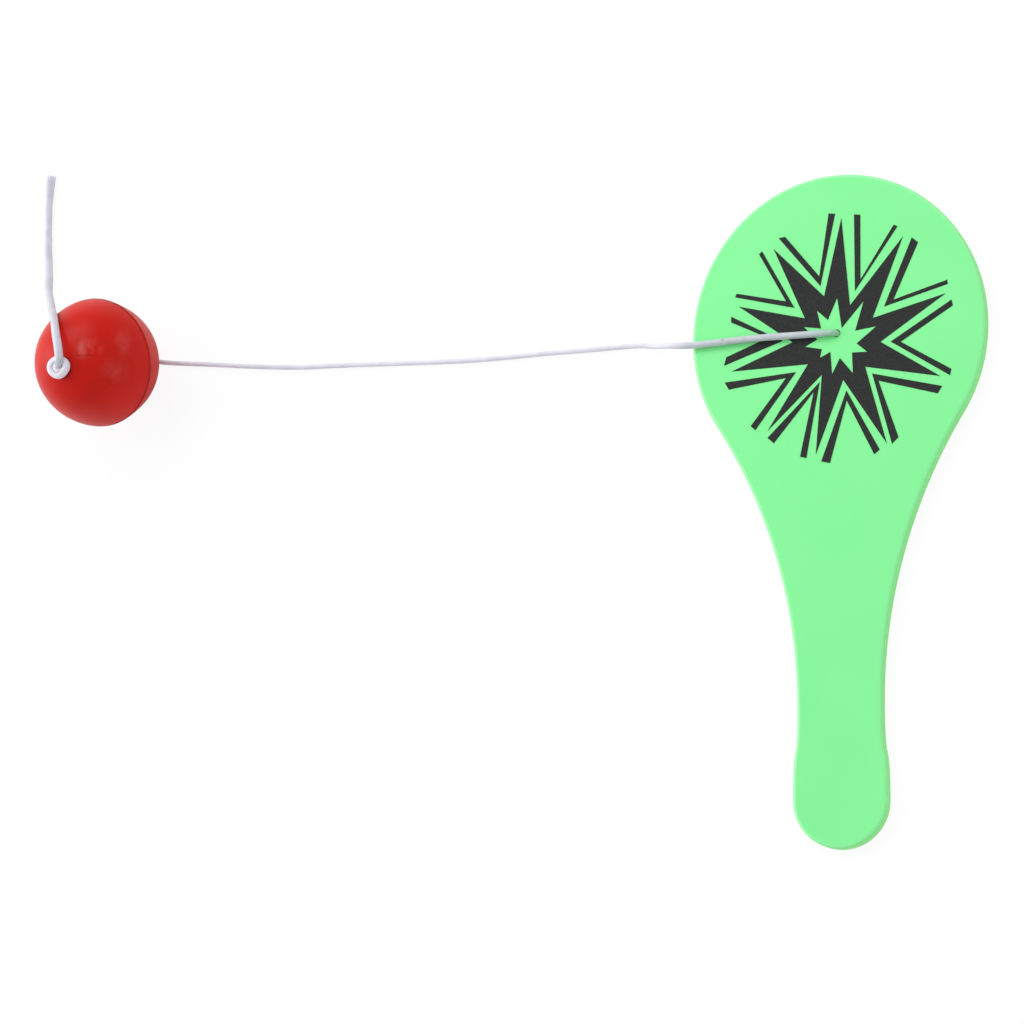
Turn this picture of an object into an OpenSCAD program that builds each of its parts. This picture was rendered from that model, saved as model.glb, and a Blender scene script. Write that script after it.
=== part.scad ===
// Paddle ball game: a moulded plastic paddle lying on its back, and a hollow rubber ball tied
// to it by one length of elastic cord. All lengths are in millimetres and all angles in degrees.
// +X runs from the ball to the paddle, +Y to the top of the blade, and +Z up from the table.
// The origin is on the table, under the middle of the box that holds the paddle and the ball.

/* [Paddle] */
// Length of the paddle, from the top of the blade to the end of the handle
paddle_l = 203; // [190:1:230]
// Width of the blade at its widest
blade_w = 90; // [80:0.5:100]
// Height of the oval that the blade follows
blade_h = 97; // [90:0.5:104]
// How far the oval runs on below its widest place before the shoulder starts
shoulder_a = 34; // [28:1:40]
// Distance from the top of the blade to the narrowest place of the handle
waist_y = 161; // [150:1:166]
// Width of the handle at its narrowest
waist_w = 25.5; // [22:0.5:28]
// Width of the rounded end of the handle
butt_w = 28.3; // [26:0.1:32]
// Thickness of the paddle over its rim
paddle_t = 4; // [3.5:0.1:6]
// Radius of the rounded edge of the play face
edge_r = 1.2; // [0.6:0.1:1.4]
// Small bevel on the edge of the back
back_bevel = 0.3; // [0.1:0.05:0.5]

/* [Back of the paddle] */
// Thickness of the face plate
face_t = 1.5; // [1.2:0.1:1.6]
// Thickness of the rim round the hollow back
rim_w = 2; // [1.6:0.1:3]
// Thickness of the stiffening ribs
rib_w = 1.6; // [1:0.1:2.4]
// Outer diameter of the ring round the knot
knot_ring_d = 13; // [11:0.5:16]
// Wall of the ring round the knot
knot_ring_wall = 1.6; // [1:0.1:2]

/* [Cord hole] */
// Distance from the top of the blade to the cord hole
hole_y = 49.5; // [44:0.5:54]
// Diameter of the cord hole
hole_d = 2.3; // [2.2:0.1:2.5]
// Diameter of the hole where it opens on the play face
hole_mouth_d = 2.5; // [2.5:0.1:3.2]
// Depth of the opened mouth
hole_mouth_t = 0.4; // [0.3:0.05:0.9]

/* [Print] */
// Radius of the printed starburst, to the ends of its bars
print_r = 38; // [34:0.5:39]
// Thickness of the ink
print_t = 0.1; // [0.05:0.01:0.15]
// Distance from the top of the blade to the middle of the starburst
print_y = 50; // [48:0.5:52]
// How far the middle of the starburst lies right of the middle of the blade
print_shift = 0.5; // [0:0.1:1]

/* [Ball] */
// Diameter of the ball from one end of its hole to the other
ball_d = 39.8; // [38.8:0.1:40.8]
// Thickness of the rubber
ball_wall = 3; // [2:0.1:4]
// How far the knotted half swells out at the seam
near_swell = 0.75; // [0.2:0.05:1.2]
// Angle over which that swelling fades out
near_swell_a = 35; // [25:1:40]
// How far the other half swells out at the seam
far_swell = 0.85; // [0.2:0.05:1.2]
// Angle over which that swelling fades out
far_swell_a = 20; // [12:1:30]
// Depth of the fine groove along the seam
seam_groove = 0.4; // [0.1:0.05:0.5]
// Diameter of the hole that the cord runs through
ball_bore_d = 2; // [1.8:0.1:2.6]
// Diameter of the thick rubber round each end of the hole
pole_boss_d = 13; // [11:0.5:16]
// Thickness of that rubber below the seat of the knot
pole_boss_t = 2; // [1:0.1:3]
// Angle between the hole through the ball and the vertical
ball_lean = 19; // [17:1:22]
// Direction that the hole leans to, from the far side from the paddle towards the handle
ball_turn = 65; // [60:1:70]

/* [Layout] */
// Distance from the cord hole to the middle of the ball, along X
ball_reach = 240.5; // [240:0.5:241]
// Distance from the cord hole to the middle of the ball, along Y
ball_side = 5.5; // [5:0.5:6]

/* [Cord] */
// Diameter of the elastic where it lies on the table
cord_d = 1.5; // [1.3:0.1:1.6]
// Diameter of the elastic where it lies on the blade
cord_blade_d = 1.8; // [1.5:0.1:1.9]
// Diameter of the slack tail at the ball
tail_d = 2.5; // [2.2:0.1:2.6]
// Diameter of the knot on the ball
knot_d = 7.8; // [7:0.1:8.2]
// Height of the knot on the ball
knot_h = 5.6; // [5:0.1:6]
// How far the middle of that knot stands outside the ball
knot_rise = 0.9; // [0.7:0.05:1.1]
// Diameter of the knot behind the blade
anchor_d = 5.4; // [4.8:0.1:6.4]
// Height of the knot behind the blade
anchor_h = 2.2; // [2:0.1:2.3]

/* [Hidden] */

paddle_green = [0.30, 0.93, 0.36];
ink_black = [0.09, 0.08, 0.09];
cord_white = [0.86, 0.85, 0.90];
ball_red = [0.74, 0.07, 0.05];

// Overrun of every cut past the face that it opens
cut = 1;
// Gap between a knot and the seat or face that it bears on
seat_gap = 0.3;
ball_r = ball_d / 2;
knot_r = knot_d / 2;

// Hole through the ball: a unit direction from the middle of the ball to the knot
ball_axis = [
    -sin(ball_lean) * cos(ball_turn),
    -sin(ball_lean) * sin(ball_turn),
    cos(ball_lean)
];

// Curves
function bezier(a, b, c, d, u) =
    pow(1 - u, 3) * a + 3 * u * pow(1 - u, 2) * b + 3 * u * u * (1 - u) * c + pow(u, 3) * d;
function unit(v) = v / norm(v);

// Half outline of the paddle, from the top of the blade down to the end of the handle.
// Here y counts down from the top of the blade.
oval_steps = 30;
shoulder_steps = 14;
waist_steps = 9;
butt_steps = 12;
// Lengths of the curves' handles, as shares of the stretches that they shape
shoulder_pull_share = 0.21;
waist_pull_share = 0.47;
flare_pull_share = 0.75;
oval_end_a = 90 + shoulder_a;
oval_end = [blade_w / 2 * sin(oval_end_a), blade_h / 2 * (1 - cos(oval_end_a))];
oval_way = unit([blade_w * cos(oval_end_a), blade_h * sin(oval_end_a)]);
waist = [waist_w / 2, waist_y];
butt = [butt_w / 2, paddle_l - butt_w / 2];
shoulder_l = waist.y - oval_end.y;
flare_l = butt.y - waist.y;
half_outline = concat(
    [for (i = [0 : oval_steps])
        let (a = oval_end_a * i / oval_steps)
        [blade_w / 2 * sin(a), blade_h / 2 * (1 - cos(a))]],
    [for (i = [1 : shoulder_steps])
        bezier(oval_end, oval_end + oval_way * shoulder_l * shoulder_pull_share,
            waist - [0, shoulder_l * waist_pull_share], waist, i / shoulder_steps)],
    [for (i = [1 : waist_steps])
        bezier(waist, waist + [0, flare_l * flare_pull_share],
            butt - [0, flare_l * flare_pull_share], butt, i / waist_steps)],
    [for (i = [1 : butt_steps])
        let (a = 90 * i / butt_steps)
        [butt_w / 2 * cos(a), butt.y + butt_w / 2 * sin(a)]]
);
last = len(half_outline) - 1;
outline = concat(
    [for (p = half_outline) [p.x, paddle_l / 2 - p.y]],
    [for (i = [last - 1 : -1 : 1]) [-half_outline[i].x, paddle_l / 2 - half_outline[i].y]]
);
sides = len(outline);
// The outline drawn in by a distance, square to itself
function drawn_in(gap) = [
    for (i = [0 : sides - 1])
        let (way = unit(outline[(i + 1) % sides] - outline[(i + sides - 1) % sides]))
        outline[i] + gap * [way.y, -way.x]
];

// Section of the paddle's edge, from below the back to the play face: how far in, and how high
edge_steps = 5;
edge_section = concat(
    [[back_bevel + cut, -cut], [0, back_bevel]],
    [for (i = [0 : edge_steps])
        let (a = 90 * i / edge_steps)
        [edge_r * (1 - cos(a)), paddle_t - edge_r * (1 - sin(a))]]
);

// A solid plate with the rounded edge all round, cut flat at the back.
// The play face is laid in strips from one side of the outline to the other.
module edged_plate() {
    rings = len(edge_section);
    points = [for (e = edge_section) each [for (p = drawn_in(e[0])) [p.x, p.y, e[1]]]];
    skin = [for (j = [0 : rings - 2]) each [for (i = [0 : sides - 1])
        let (n = (i + 1) % sides, low = j * sides, high = low + sides)
        each [[low + i, low + n, high + n], [low + i, high + n, high + i]]]];
    back = [[for (i = [sides - 1 : -1 : 0]) i]];
    top = (rings - 1) * sides;
    front = concat(
        [[top, top + 1, top + sides - 1], [top + last - 1, top + last, top + last + 1]],
        [for (i = [1 : last - 2])
            each [[top + i, top + i + 1, top + sides - i - 1],
                [top + i, top + sides - i - 1, top + sides - i]]]
    );
    difference() {
        polyhedron(points, concat(skin, back, front));
        translate([-blade_w, -paddle_l, -cut - paddle_t])
            cube([2 * blade_w, 2 * paddle_l, cut + paddle_t]);
    }
}

// The hollow behind the face plate, less the ribs and the ring round the knot
module hollow_back() {
    depth = paddle_t - face_t;
    hole_from_middle = [0, paddle_l / 2 - hole_y, 0];
    difference() {
        translate([0, 0, -cut]) linear_extrude(depth + cut) polygon(drawn_in(rim_w));
        translate([-rib_w / 2, -paddle_l / 2, 0]) cube([rib_w, paddle_l, depth + cut]);
        translate(hole_from_middle - [blade_w / 2, rib_w / 2, 0])
            cube([blade_w, rib_w, depth + cut]);
        translate(hole_from_middle) cylinder(h = depth + cut, d = knot_ring_d, $fn = 64);
    }
    translate(hole_from_middle - [0, 0, cut])
        cylinder(h = depth + cut, d = knot_ring_d - 2 * knot_ring_wall, $fn = 64);
}

module paddle() {
    color(paddle_green)
    difference() {
        translate([paddle_x, 0, 0]) difference() {
            edged_plate();
            hollow_back();
        }
        translate([hole_at.x, hole_at.y, 0])
            cylinder(h = paddle_t + cut, d = hole_d, $fn = 48);
        translate([hole_at.x, hole_at.y, paddle_t - hole_mouth_t])
            cylinder(h = hole_mouth_t, d1 = hole_d, d2 = hole_mouth_d, $fn = 48);
        translate([hole_at.x, hole_at.y, paddle_t])
            cylinder(h = cut, d = hole_mouth_d, $fn = 48);
    }
}

// Starburst: each point is a direction in degrees and a share of the print's radius.
// Ten long rays, the valleys between them, and a ten-pointed star left open in the middle
ray_tip_shares = [[88, 0.95], [55, 0.92], [17, 0.90], [334, 0.90], [293, 0.98],
    [259, 0.97], [232, 0.93], [195, 0.90], [160, 0.86], [125, 0.91]];
ray_valley_shares = [[67, 0.25], [22, 0.30], [346, 0.35], [308, 0.35], [276, 0.37],
    [247, 0.34], [222, 0.33], [185, 0.37], [150, 0.31], [109, 0.34]];
core_tip_shares = [[91, 0.30], [51, 0.33], [8, 0.31], [326, 0.28], [290, 0.34],
    [261, 0.32], [230, 0.23], [196, 0.28], [163, 0.29], [129, 0.27]];
core_valley_shares = [[60, 0.06], [9, 0.14], [331, 0.17], [306, 0.19], [274, 0.19],
    [245, 0.15], [219, 0.17], [189, 0.17], [156, 0.15], [123, 0.15]];
// Bars that echo each valley: end of one arm, the bend, end of the other arm, then back inside
bar_shares = [
    [[117, 0.94], [107, 0.51], [94, 1.00], [91, 0.99], [109, 0.43], [120, 0.96]],
    [[79, 0.98], [67, 0.47], [62, 0.97], [60, 0.97], [68, 0.37], [82, 0.98]],
    [[47, 0.95], [29, 0.51], [23, 0.95], [21, 0.94], [28, 0.42], [51, 0.95]],
    [[10, 0.93], [349, 0.51], [339, 0.96], [336, 0.97], [348, 0.43], [13, 0.93]],
    [[326, 0.95], [309, 0.51], [299, 0.98], [295, 1.00], [309, 0.43], [330, 0.95]],
    [[286, 1.02], [277, 0.54], [266, 1.03], [262, 1.02], [278, 0.46], [289, 1.00]],
    [[252, 1.01], [246, 0.49], [238, 0.99], [234, 0.98], [248, 0.40], [255, 1.01]],
    [[224, 0.99], [217, 0.53], [203, 0.97], [199, 0.98], [219, 0.44], [227, 0.99]],
    [[187, 0.92], [178, 0.57], [169, 0.89], [166, 0.90], [182, 0.45], [191, 0.95]],
    [[154, 0.92], [144, 0.52], [132, 0.96], [130, 0.96], [145, 0.43], [156, 0.92]]
];
function print_point(p) = print_r * p[1] * [cos(p[0]), sin(p[0])];
function star(tips, valleys) = [
    for (i = [0 : len(tips) - 1]) each [print_point(tips[i]), print_point(valleys[i])]
];

module starburst_print() {
    color(ink_black)
    translate([paddle_x + print_shift, paddle_l / 2 - print_y, paddle_t])
        linear_extrude(print_t) {
            difference() {
                polygon(star(ray_tip_shares, ray_valley_shares));
                polygon(star(core_tip_shares, core_valley_shares));
                translate([-print_shift, print_y - hole_y]) circle(d = hole_mouth_d, $fn = 48);
            }
            for (bar = bar_shares) polygon([for (p = bar) print_point(p)]);
        }
}

// A cord: one tube swept along its own points, each with a radius of its own
cord_sides = 8;
function cord_way(route, i) =
    unit(route[min(i + 1, len(route) - 1)] - route[max(i - 1, 0)]);
// A direction square to the cord at each point, carried along so that the tube never twists
function cord_across(route, i) =
    let (way = cord_way(route, i),
        before = i == 0 ? (abs(way.z) < 0.7 ? [0, 0, 1] : [0, 1, 0]) : cord_across(route, i - 1))
    unit(before - (before * way) * way);
module swept_cord(route, radii) {
    rings = len(route);
    points = [for (i = [0 : rings - 1])
        let (way = cord_way(route, i), across = cord_across(route, i),
            other = cross(way, across))
        each [for (k = [0 : cord_sides - 1])
            let (a = 360 * k / cord_sides)
            route[i] + radii[i] * (cos(a) * across + sin(a) * other)]];
    skin = [for (i = [0 : rings - 2]) each [for (k = [0 : cord_sides - 1])
        let (n = (k + 1) % cord_sides, low = i * cord_sides, high = low + cord_sides)
        each [[low + k, high + n, low + n], [low + k, high + k, high + n]]]];
    start = [[for (k = [0 : cord_sides - 1]) k]];
    end = [[for (k = [cord_sides - 1 : -1 : 0]) (rings - 1) * cord_sides + k]];
    color(cord_white) polyhedron(points, concat(skin, start, end));
}

// Routes of the cord, in millimetres. The first three count from the cord hole, the tail from
// the middle of the ball, and heights are above the table.
// From the knot behind the blade, up through the hole and over on to the play face
neck_route = [[0.2, 0, 1.4], [0.22, 0, 2.1], [0.2, 0, 2.9], [-0.02, 0, 3.75], [-0.45, 0, 4.47],
    [-1.2, 0, 4.93], [-2.1, 0, 5.16], [-3, 0, 5.2], [-4, 0, 5.2], [-5, 0, 5.2]];
// Along the blade
root_route = [[-5, 0, 5.2], [-11, 0, 5.2], [-17, 0.1, 5.2], [-23, 0.1, 5.2], [-29, 0, 5.2],
    [-35, -0.2, 5.2]];
// Over the edge of the blade, down to the table and along it, then up into the ball
span_route = [[-35, -0.2, 5.2], [-40, -0.4, 5.2], [-44, -0.5, 5.2], [-47.5, -0.4, 5.1],
    [-51, 0, 4.6], [-55, 0.5, 3.3], [-59, 1.1, 1.8], [-62.5, 1.8, 0.95], [-66, 1.9, 0.8],
    [-71, 1.9, 0.8], [-78, 1.8, 0.8], [-86, 1.8, 0.8], [-94, 1.8, 0.8], [-102, 1.6, 0.8],
    [-110, 1.5, 0.8], [-118, 1.5, 0.8], [-126, 1.7, 0.8], [-134, 2, 0.8], [-142, 2.4, 0.8],
    [-150, 2.7, 0.8], [-158, 3.1, 0.8], [-167, 3.4, 0.8], [-176, 3.7, 0.8], [-184, 4.3, 0.8],
    [-192, 5.1, 0.8], [-200, 6, 0.8], [-209, 7.1, 0.8], [-218, 8.1, 0.8], [-226, 9.1, 0.8],
    [-231, 10.1, 0.8], [-234.9, 10.8, 0.8], [-236, 11, 1], [-237, 11, 1.55], [-237.8, 10.9, 2.4],
    [-238.1, 10.6, 3.5], [-238.3, 10.2, 4.9]];
// Out of the knot, over the top of the ball and down to the table
tail_route = [[-2.7, -6.1, 39.4], [-1.5, -4.6, 41.4], [-1.1, -2.4, 42.8], [-1.5, 0.8, 43.2],
    [-2.2, 3, 42.9], [-3.1, 5.2, 42], [-4.3, 7.6, 40.5], [-5.8, 10, 38.4], [-7.8, 12.5, 35.6],
    [-10.2, 14.9, 32.3], [-13.4, 17.8, 27.4], [-17, 21.2, 21.8], [-22, 26.4, 14.4],
    [-25.3, 30.7, 9.2], [-27.9, 34.9, 4.8], [-29.5, 38.2, 2.4], [-30.3, 41.5, 1.4],
    [-30.7, 45, 1.3], [-31, 50, 1.3], [-31.2, 55.5, 1.3], [-31.3, 61, 1.3], [-31, 66.5, 1.3],
    [-31.2, 69.6, 1.3], [-31.8, 72.2, 1.3]];
blade_end = 3;
thin_start = 7;
function span_radius(i) = i <= blade_end ? cord_blade_d / 2 : i >= thin_start ? cord_d / 2
    : (cord_blade_d + (cord_d - cord_blade_d) * (i - blade_end) / (thin_start - blade_end)) / 2;
tail_lying = 16;
tail_lying_share = 0.96;
function tail_radius(i) = tail_d / 2 * (i < tail_lying ? 1 : tail_lying_share);

module cord_neck() {
    translate([hole_at.x, hole_at.y, 0])
        swept_cord(neck_route, [for (p = neck_route) cord_d / 2]);
}

module elastic_root() {
    translate([hole_at.x, hole_at.y, 0])
        swept_cord(root_route, [for (i = [0 : len(root_route) - 1])
            i == 0 ? cord_d / 2 : cord_blade_d / 2]);
}

module elastic_span() {
    translate([hole_at.x, hole_at.y, 0])
        swept_cord(span_route, [for (i = [0 : len(span_route) - 1]) span_radius(i)]);
}

module elastic_tail() {
    translate([ball_at.x, ball_at.y, 0])
        swept_cord(tail_route, [for (i = [0 : len(tail_route) - 1]) tail_radius(i)]);
}

// Half section of an overhand knot: a fat turn of cord round a taller core
knot_core_share = 0.66;
module knot_solid(d, h) {
    turn_r = h / 4;
    core_r = d / 2 * knot_core_share;
    steps = 18;
    color(cord_white) {
        rotate_extrude($fn = 72) polygon([for (i = [0 : steps])
            let (a = 180 * i / steps - 90) [core_r * max(cos(a), 0), h / 2 * sin(a)]]);
        rotate_extrude($fn = 72) translate([d / 2 - turn_r, 0]) circle(r = turn_r, $fn = 32);
    }
}

// The knot behind the blade bears on the face plate from below
module anchor_knot() {
    translate([hole_at.x, hole_at.y, paddle_t - face_t - anchor_h / 2 - seat_gap / 2])
        knot_solid(anchor_d, anchor_h);
}

// Places its child, which stands along +Z, on the hole through the ball
module on_ball_axis() {
    translate([ball_at.x, ball_at.y, ball_r])
        rotate([0, -ball_lean, ball_turn]) children();
}

// The knot on the ball sits in the dished end of the hole
module ball_knot() {
    on_ball_axis() translate([0, 0, ball_r + knot_rise]) knot_solid(knot_d, knot_h);
}

// Distance from the middle of the ball at which the stretched cord hands over to the straight one
cord_entry = 15.85;
module cord_in_ball() {
    color(cord_white)
    on_ball_axis() translate([0, 0, -cord_entry])
        cylinder(h = cord_entry + ball_r + knot_rise - knot_h / 4, d = cord_d, $fn = 32);
}

// Section of one half of the ball. The seam lies along Y = 0 and the cord hole along X = 0.
seat_r = knot_r + seat_gap;
seat_h = knot_h / 2 + seat_gap;
seat_z = ball_r + knot_rise;
bore_r = ball_bore_d / 2;
boss_r = pole_boss_d / 2;
inner_r = ball_r - ball_wall;
boss_z = seat_z - seat_h - pole_boss_t;
// Height at which the knot's seat breaks out of the ball, found by halving a span that holds it
function seat_width(z) = seat_r * sqrt(max(0, 1 - pow((z - seat_z) / seat_h, 2)));
function ball_width(z) = sqrt(max(0, ball_r * ball_r - z * z));
function seat_edge(low, high, n) =
    let (mid = (low + high) / 2)
    n == 0 ? mid
    : ball_width(mid) > seat_width(mid) ? seat_edge(mid, high, n - 1)
    : seat_edge(low, mid, n - 1);
seat_edge_z = seat_edge(ball_r - seat_h / 2, ball_r, 24);
seat_top_a = asin(seat_edge_z / ball_r);
seat_low_a = acos(bore_r / seat_r);
seat_high_a = asin((seat_edge_z - seat_z) / seat_h);
ball_steps = 36;
seat_steps = 10;
groove_a = asin(seam_groove / ball_r);
function half_section(swell, swell_a) = concat(
    [[inner_r, 0], [ball_r + swell - seam_groove, 0]],
    [for (i = [0 : ball_steps])
        let (a = groove_a + (seat_top_a - groove_a) * i / ball_steps,
            r = ball_r + swell * pow(max(0, 1 - a / swell_a), 2))
        [r * cos(a), r * sin(a)]],
    [for (i = [1 : seat_steps])
        let (a = seat_high_a + (-seat_low_a - seat_high_a) * i / seat_steps)
        [seat_r * cos(a), seat_z + seat_h * sin(a)]],
    [[bore_r, boss_z], [boss_r, boss_z]],
    [for (i = [0 : ball_steps - 1])
        let (a = acos(boss_r / inner_r) * (1 - i / ball_steps))
        [inner_r * cos(a), inner_r * sin(a)]]
);
// How far the ball reaches along X, with its swelling at the seam
ball_half_x = max([for (p = half_section(near_swell, near_swell_a))
    p.x * sqrt(1 - ball_axis.x * ball_axis.x) + p.y * abs(ball_axis.x)]);

// Places in plan
paddle_x = (ball_reach + ball_half_x - blade_w / 2) / 2;
hole_at = [paddle_x, paddle_l / 2 - hole_y];
ball_at = hole_at + [-ball_reach, ball_side];

module ball_half(swell, swell_a) {
    rotate_extrude($fn = 144) polygon(half_section(swell, swell_a));
}

module ball_half_near() {
    color(ball_red) on_ball_axis() ball_half(near_swell, near_swell_a);
}

module ball_half_far() {
    color(ball_red) on_ball_axis() mirror([0, 0, 1]) ball_half(far_swell, far_swell_a);
}

paddle();
starburst_print();
anchor_knot();
cord_neck();
elastic_root();
elastic_span();
cord_in_ball();
ball_knot();
elastic_tail();
ball_half_near();
ball_half_far();
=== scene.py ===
from math import acos, asin, cos, degrees, pi, radians, sin, sqrt

import bmesh
import bpy
from mathutils import Euler, Matrix, Vector


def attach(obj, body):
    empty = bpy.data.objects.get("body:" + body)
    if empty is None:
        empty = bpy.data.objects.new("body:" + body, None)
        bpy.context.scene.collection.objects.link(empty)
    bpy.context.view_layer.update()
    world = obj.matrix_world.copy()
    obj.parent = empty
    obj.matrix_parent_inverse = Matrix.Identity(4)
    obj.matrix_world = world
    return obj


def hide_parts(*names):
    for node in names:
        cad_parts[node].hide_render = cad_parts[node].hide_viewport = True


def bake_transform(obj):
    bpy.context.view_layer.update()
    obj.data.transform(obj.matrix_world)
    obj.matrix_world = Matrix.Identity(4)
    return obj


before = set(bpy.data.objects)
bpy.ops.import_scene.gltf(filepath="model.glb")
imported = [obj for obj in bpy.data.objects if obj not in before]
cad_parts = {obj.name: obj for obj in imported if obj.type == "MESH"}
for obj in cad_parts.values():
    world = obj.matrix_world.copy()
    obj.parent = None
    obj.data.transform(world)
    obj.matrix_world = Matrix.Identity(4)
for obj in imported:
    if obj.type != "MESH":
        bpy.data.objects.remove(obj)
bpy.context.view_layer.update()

MM = 0.001

# Camera: sensor and lens in millimetres, the place it looks from in metres, its turn in degrees
SENSOR_W, LENS = 36, 105.47
CAMERA_AT = (0.32813, -0.18034, 0.84713)
CAMERA_TURN = (11.06, 21.19, -3.33)
CLIP_START, CLIP_END = 0.05, 20

scene = bpy.context.scene
cam_data = bpy.data.cameras.new("camera")
cam_data.sensor_width = SENSOR_W
cam_data.lens = LENS
cam_data.clip_start = CLIP_START
cam_data.clip_end = CLIP_END
cam = bpy.data.objects.new("camera", cam_data)
cam.location = CAMERA_AT
cam.rotation_mode = "YXZ"
cam.rotation_euler = Euler([radians(a) for a in CAMERA_TURN], "YXZ")
scene.collection.objects.link(cam)
scene.camera = cam
scene.view_settings.view_transform = "Standard"

# Sizes that the solids share, in millimetres and degrees.
# Paddle: length, blade, shoulder, waist, butt, and the section of its edge
PADDLE_L, BLADE_W, BLADE_H = 203.0, 90.0, 97.0
SHOULDER_A, WAIST_Y, WAIST_W, BUTT_W = 34.0, 161.0, 25.5, 28.3
PADDLE_T, EDGE_R, BACK_BEVEL = 4.0, 1.2, 0.3
# Back of the paddle: face plate, rim, ribs, and the ring round the knot
FACE_T, RIM_W, RIB_W = 1.5, 2.0, 1.6
RING_D, RING_WALL = 13.0, 1.6
# Hole in the blade, with the rounded mouth that it has on the play face
HOLE_Y, HOLE_D, MOUTH_D, MOUTH_T = 49.5, 2.3, 2.5, 0.4
# Ball: radius, wall, groove of the seam, and how far each half swells over how many degrees
BALL_R, BALL_WALL, SEAM_GROOVE = 19.9, 3.0, 0.4
NEAR_SWELL, FAR_SWELL = (0.75, 35.0), (0.85, 20.0)
# Holes through the ball, the thick rubber round them, and how the ball leans
BORE_D, BOSS_D, BOSS_T = 2.0, 13.0, 2.0
LEAN, TURN = radians(19), radians(65)
# Way from the hole in the blade to the ball, to the left and up the table
REACH, SIDE = 240.5, 5.5
# Cord on the table and in the slack tail
CORD_D, TAIL_D = 1.5, 2.5
# Knot on the ball, how far its middle stands above the skin, and the gap round it in its seat
KNOT_D, KNOT_H, KNOT_RISE, SEAT_GAP = 7.8, 5.6, 0.9, 0.3

# Sizes of the scene alone: thickness of the cord on the blade, and in the blade's hole
CORD_BLADE_D, NECK_D = 2.1, 1.84

AXIS = Vector((-sin(LEAN) * cos(TURN), -sin(LEAN) * sin(TURN), cos(LEAN)))


def swollen(a, swell):
    """Radius of the ball at a latitude above its seam, in degrees."""
    return BALL_R + swell[0] * max(0, 1 - a / swell[1]) ** 2


# How far the ball reaches sideways from its middle, the widest of many latitudes of one half
SWELL_TRIES = [a / 50 for a in range(36, 1000)]
BALL_HALF_X = max(swollen(a, NEAR_SWELL) * cos(radians(a) - asin(abs(AXIS.x)))
                  for a in SWELL_TRIES)
PADDLE_X = (REACH + BALL_HALF_X - BLADE_W / 2) / 2
HOLE = Vector((PADDLE_X, PADDLE_L / 2 - HOLE_Y, 0))
BALL = HOLE + Vector((-REACH, SIDE, BALL_R))
BALL_FOOT = HOLE + Vector((-REACH, SIDE, 0))


# Curves
def spline(points, step):
    """A smooth line through the points, with about one point for each step of length."""
    p = [Vector(q) for q in points]
    p = [p[0] * 2 - p[1]] + p + [p[-1] * 2 - p[-2]]
    line = []
    for i in range(1, len(p) - 2):
        a, b, c, d = p[i - 1], p[i], p[i + 1], p[i + 2]
        ta = 0.0
        tb = ta + sqrt(max((b - a).length, 1e-6))
        tc = tb + sqrt(max((c - b).length, 1e-6))
        td = tc + sqrt(max((d - c).length, 1e-6))
        count = max(1, round((c - b).length / step))
        for k in range(count):
            t = tb + (tc - tb) * k / count
            ab = a.lerp(b, (t - ta) / (tb - ta))
            bc = b.lerp(c, (t - tb) / (tc - tb))
            cd = c.lerp(d, (t - tc) / (td - tc))
            abc = ab.lerp(bc, (t - ta) / (tc - ta))
            bcd = bc.lerp(cd, (t - tb) / (td - tb))
            line.append(abc.lerp(bcd, (t - tb) / (tc - tb)))
    line.append(p[-2])
    return line


def evened(line, step):
    """The line with its points spread evenly along it."""
    far = [0.0]
    for a, b in zip(line, line[1:]):
        far.append(far[-1] + (b - a).length)
    count = max(2, round(far[-1] / step))
    out, j = [], 0
    for k in range(count + 1):
        s = far[-1] * k / count
        while j < len(far) - 2 and far[j + 1] < s:
            j += 1
        out.append(line[j].lerp(line[j + 1], min(1, (s - far[j]) / (far[j + 1] - far[j]))))
    return out


def length_of(line):
    return sum((b - a).length for a, b in zip(line, line[1:]))


def frames_of(line):
    """Directions along and across the line at each point, with no twist."""
    ways = [(line[min(i + 1, len(line) - 1)] - line[max(i - 1, 0)]).normalized()
            for i in range(len(line))]
    across = ways[0].cross(Vector((0, 0, 1)))
    if across.length < 0.1:
        across = ways[0].cross(Vector((0, 1, 0)))
    out = []
    for w in ways:
        across = (across - w * across.dot(w)).normalized()
        out.append((w, across, w.cross(across)))
    return out


def bezier(a, b, c, d, u):
    return (1 - u) ** 3 * a + 3 * u * (1 - u) ** 2 * b + 3 * u * u * (1 - u) * c + u ** 3 * d


def eased(t):
    """0 up to t = 0, 1 from t = 1, and a soft step between them."""
    t = min(1, max(0, t))
    return t * t * (3 - 2 * t)


def circle(r, n=64):
    return [(r * cos(2 * pi * i / n), r * sin(2 * pi * i / n)) for i in range(n)]


def boxed(x0, y0, x1, y1):
    return [(x0, y0), (x1, y0), (x1, y1), (x0, y1)]


# Solids, from points in millimetres
def mesh_object(name, verts, faces, material):
    mesh = bpy.data.meshes.new(name)
    mesh.from_pydata([tuple(Vector(v) * MM) for v in verts], [], faces)
    mesh.validate()
    bm = bmesh.new()
    bm.from_mesh(mesh)
    bmesh.ops.recalc_face_normals(bm, faces=bm.faces)
    bm.to_mesh(mesh)
    bm.free()
    for polygon in mesh.polygons:
        polygon.use_smooth = True
    if material:
        mesh.materials.append(material)
    obj = bpy.data.objects.new(name, mesh)
    scene.collection.objects.link(obj)
    return obj


def ring_of(point, across, r, sides):
    """Points round a line, across the two directions given."""
    a, b = across
    return [point + r * (cos(t) * a + sin(t) * b)
            for t in (2 * pi * k / sides for k in range(sides))]


def band(first, second, sides):
    """Faces between two rings of points, each given by the number of its first point."""
    return [(first + k, first + (k + 1) % sides, second + (k + 1) % sides, second + k)
            for k in range(sides)]


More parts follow.
